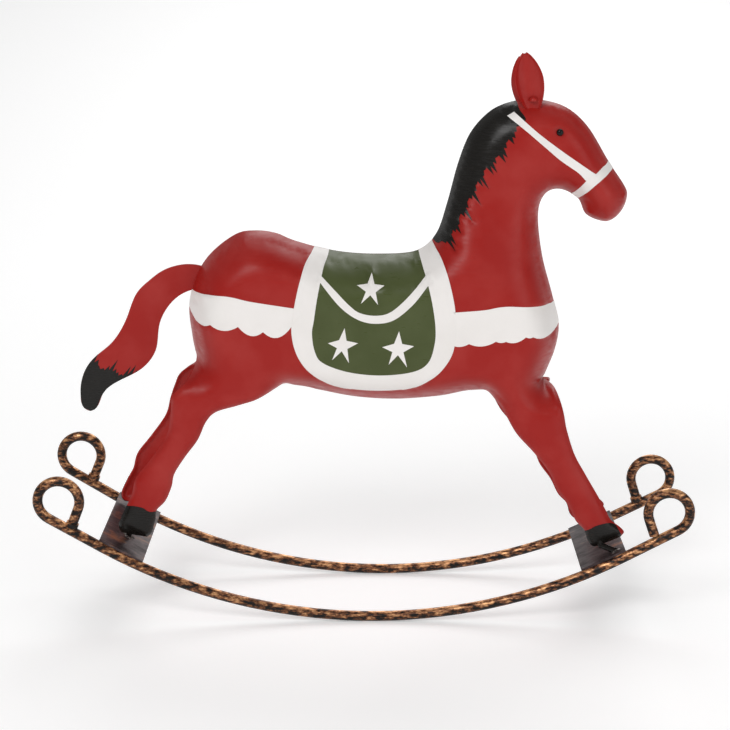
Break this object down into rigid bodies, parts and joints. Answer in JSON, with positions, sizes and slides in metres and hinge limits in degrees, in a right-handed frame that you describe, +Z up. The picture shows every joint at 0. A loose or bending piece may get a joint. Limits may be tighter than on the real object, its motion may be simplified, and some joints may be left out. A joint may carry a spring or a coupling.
{
  "type": "rocking horse",
  "caption": "Small painted sheet-metal rocking horse with a saddle cloth, standing on two bent-rod rockers with curled ends, joined by flat cross plates",
  "frame": {"origin": "bottom centre of the whole object, on the floor that the rockers stand on", "axes": "+X from tail to nose along the rockers, +Y to the horse's left, +Z up"},
  "size_m": [0.331, 0.0742, 0.2818],
  "materials": {
    "red_enamel": "satin",
    "white_enamel": "satin",
    "green_enamel": "satin",
    "black_enamel": "satin",
    "antiqued_copper": "brushed",
    "antiqued_plate": "satin",
    "weld_metal": "rough"
  },
  "bodies": {
    "root": {"body_shell_right": "red_enamel", "body_shell_left": "red_enamel", "tail_plate": "red_enamel", "ear_right": "red_enamel", "ear_left": "red_enamel", "ear_welds": "red_enamel", "eye_right": "black_enamel", "eye_left": "black_enamel", "rocker_rod_right": "antiqued_copper", "rocker_rod_left": "antiqued_copper", "loop_welds": "antiqued_copper", "cross_plate_front": "antiqued_plate", "cross_plate_rear": "antiqued_plate", "plate_welds_front": "antiqued_plate", "plate_welds_rear": "antiqued_plate", "hoof_peg_front_right": "black_enamel", "hoof_peg_front_left": "black_enamel", "hoof_peg_rear_right": "black_enamel", "hoof_peg_rear_left": "black_enamel", "peg_foot_welds": "weld_metal", "peg_top_welds": "weld_metal", "seam_welds": "weld_metal", "tail_welds": "weld_metal"}
  },
  "joints": []
}
